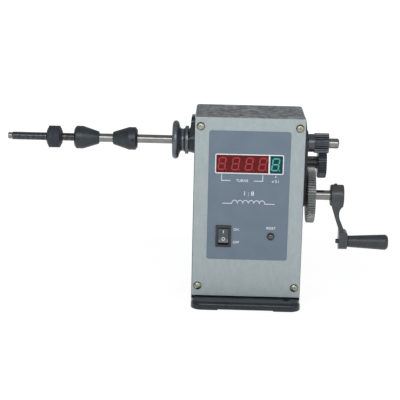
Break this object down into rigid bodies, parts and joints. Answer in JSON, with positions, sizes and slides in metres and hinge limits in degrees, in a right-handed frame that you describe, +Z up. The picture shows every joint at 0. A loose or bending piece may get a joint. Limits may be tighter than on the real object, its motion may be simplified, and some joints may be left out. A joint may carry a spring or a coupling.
{
  "type": "hand-crank coil winding machine",
  "caption": "Hand-crank coil winder: cast box with counter display, switch and reset button, geared spindle with clamping cones, nut and pulley, and a cranked handle.",
  "frame": {"origin": "on the resting face of the base, under the spindle and midway between the side walls", "axes": "+Z up, the front panel faces -Y, the winding arbor points along -X and the crank is on the +X side"},
  "size_m": [0.3805, 0.114, 0.1865],
  "materials": {
    "cast_body": "glossy dark blue-grey paint over a rough casting, bare grey on top",
    "panel_paint": "satin light grey-green paint",
    "label": "satin blue-grey printed film",
    "screw_plated": "yellow plated",
    "red_window": "dark red gloss",
    "red_segment": "bright red",
    "green_window": "dark teal gloss",
    "green_segment": "mint",
    "black_plastic": "fine grained black",
    "terminal": "bright",
    "rocker_plastic": "satin black",
    "button_plastic": "gloss black",
    "circuit_board": "green laminate",
    "steel_plain": "plain steel",
    "core_steel": "varnished steel sheets",
    "coil_tape": "yellow tape over copper wire",
    "grommet_rubber": "matt",
    "bush_bronze": "oiled bronze",
    "spring_steel": "dark",
    "shaft_steel": "bright ground steel, dark along its thread",
    "blued_steel": "satin blackened steel",
    "pinion_steel": "blued steel",
    "disc_aluminium": "plain",
    "idler_pinion_steel": "brown oiled steel",
    "gear_steel": "blackened steel, worn on the teeth",
    "arm_paint": "dark grey cast arm",
    "grip_plastic": "dark grey moulded"
  },
  "bodies": {
    "frame": {"housing": "cast_body", "front_panel": "panel_paint", "panel_label": "label", "panel_screws": "screw_plated", "count_display": "red_window", "count_display_segments": "red_segment", "tenths_display": "green_window", "tenths_display_segments": "green_segment", "power_switch_body": "black_plastic", "power_switch_terminals": "terminal", "reset_button_body": "black_plastic", "counter_board": "circuit_board", "board_spacers": "terminal", "board_screws": "steel_plain", "counter_chip": "black_plastic", "transformer_core": "core_steel", "transformer_coil": "coil_tape", "transformer_screws": "steel_plain", "turn_sensor": "black_plastic", "sensor_bracket": "steel_plain", "cable_grommet": "grommet_rubber", "spindle_bush_left": "bush_bronze", "spindle_bush_right": "bush_bronze", "crankshaft_bush": "bush_bronze", "idler_stud": "steel_plain", "idler_washer": "steel_plain", "idler_clip": "spring_steel"},
    "spindle": {"spindle_shaft": "shaft_steel", "drive_pulley": "blued_steel", "pulley_set_screw": "spring_steel", "spindle_pinion": "pinion_steel", "pinion_set_screw": "spring_steel", "encoder_disc": "disc_aluminium"},
    "idler": {"idler_pinion": "idler_pinion_steel", "idler_gear": "pinion_steel"},
    "crank": {"crank_gear": "gear_steel", "crank_shaft": "shaft_steel", "crank_shaft_collar": "steel_plain", "crank_arm": "arm_paint", "crank_arm_set_screw": "spring_steel", "handle_pin": "spring_steel"},
    "handle": {"handle_grip": "grip_plastic"},
    "clamp_nut": {"clamp_nut": "blued_steel"},
    "left_cone": {"left_cone": "blued_steel", "left_cone_set_screw": "spring_steel"},
    "right_cone": {"right_cone": "blued_steel", "right_cone_set_screw": "spring_steel"},
    "power_rocker": {"power_switch_rocker": "rocker_plastic"},
    "reset_button": {"reset_button": "button_plastic"}
  },
  "joints": [
    {"name": "crank_spin", "type": "hinge", "parent": "frame", "child": "crank", "pos_m": [0.07, 0, 0.1045], "axis": [1, 0, 0], "continuous": true},
    {"name": "idler_spin", "type": "hinge", "parent": "frame", "child": "idler", "pos_m": [0.068, 0.00931, 0.13553], "axis": [1, 0, 0], "continuous": true},
    {"name": "spindle_spin", "type": "hinge", "parent": "frame", "child": "spindle", "pos_m": [0, 0, 0.157], "axis": [1, 0, 0], "continuous": true},
    {"name": "handle_spin", "type": "hinge", "parent": "crank", "child": "handle", "pos_m": [0.12, 0, 0.0575], "axis": [1, 0, 0], "continuous": true},
    {"name": "clamp_nut_slide", "type": "slide", "parent": "spindle", "child": "clamp_nut", "axis": [1, 0, 0], "range_m": [-0.03, 0.009]},
    {"name": "left_cone_slide", "type": "slide", "parent": "spindle", "child": "left_cone", "axis": [1, 0, 0], "range_m": [-0.002, 0.006]},
    {"name": "right_cone_slide", "type": "slide", "parent": "spindle", "child": "right_cone", "axis": [1, 0, 0], "range_m": [-0.006, 0.03]},
    {"name": "power_rocker_tilt", "type": "hinge", "parent": "frame", "child": "power_rocker", "pos_m": [-0.0233, -0.0344, 0.0697], "axis": [1, 0, 0], "range_deg": [0, 16]},
    {"name": "reset_press", "type": "slide", "parent": "frame", "child": "reset_button", "axis": [0, 1, 0], "range_m": [0, 0.0012], "stiffness_N_per_m": 400, "springref_m": -0.002}
  ],
  "couplings": [
    {"joint": "idler_spin", "follows": "crank_spin", "ratio": -5},
    {"joint": "spindle_spin", "follows": "crank_spin", "ratio": 8}
  ]
}
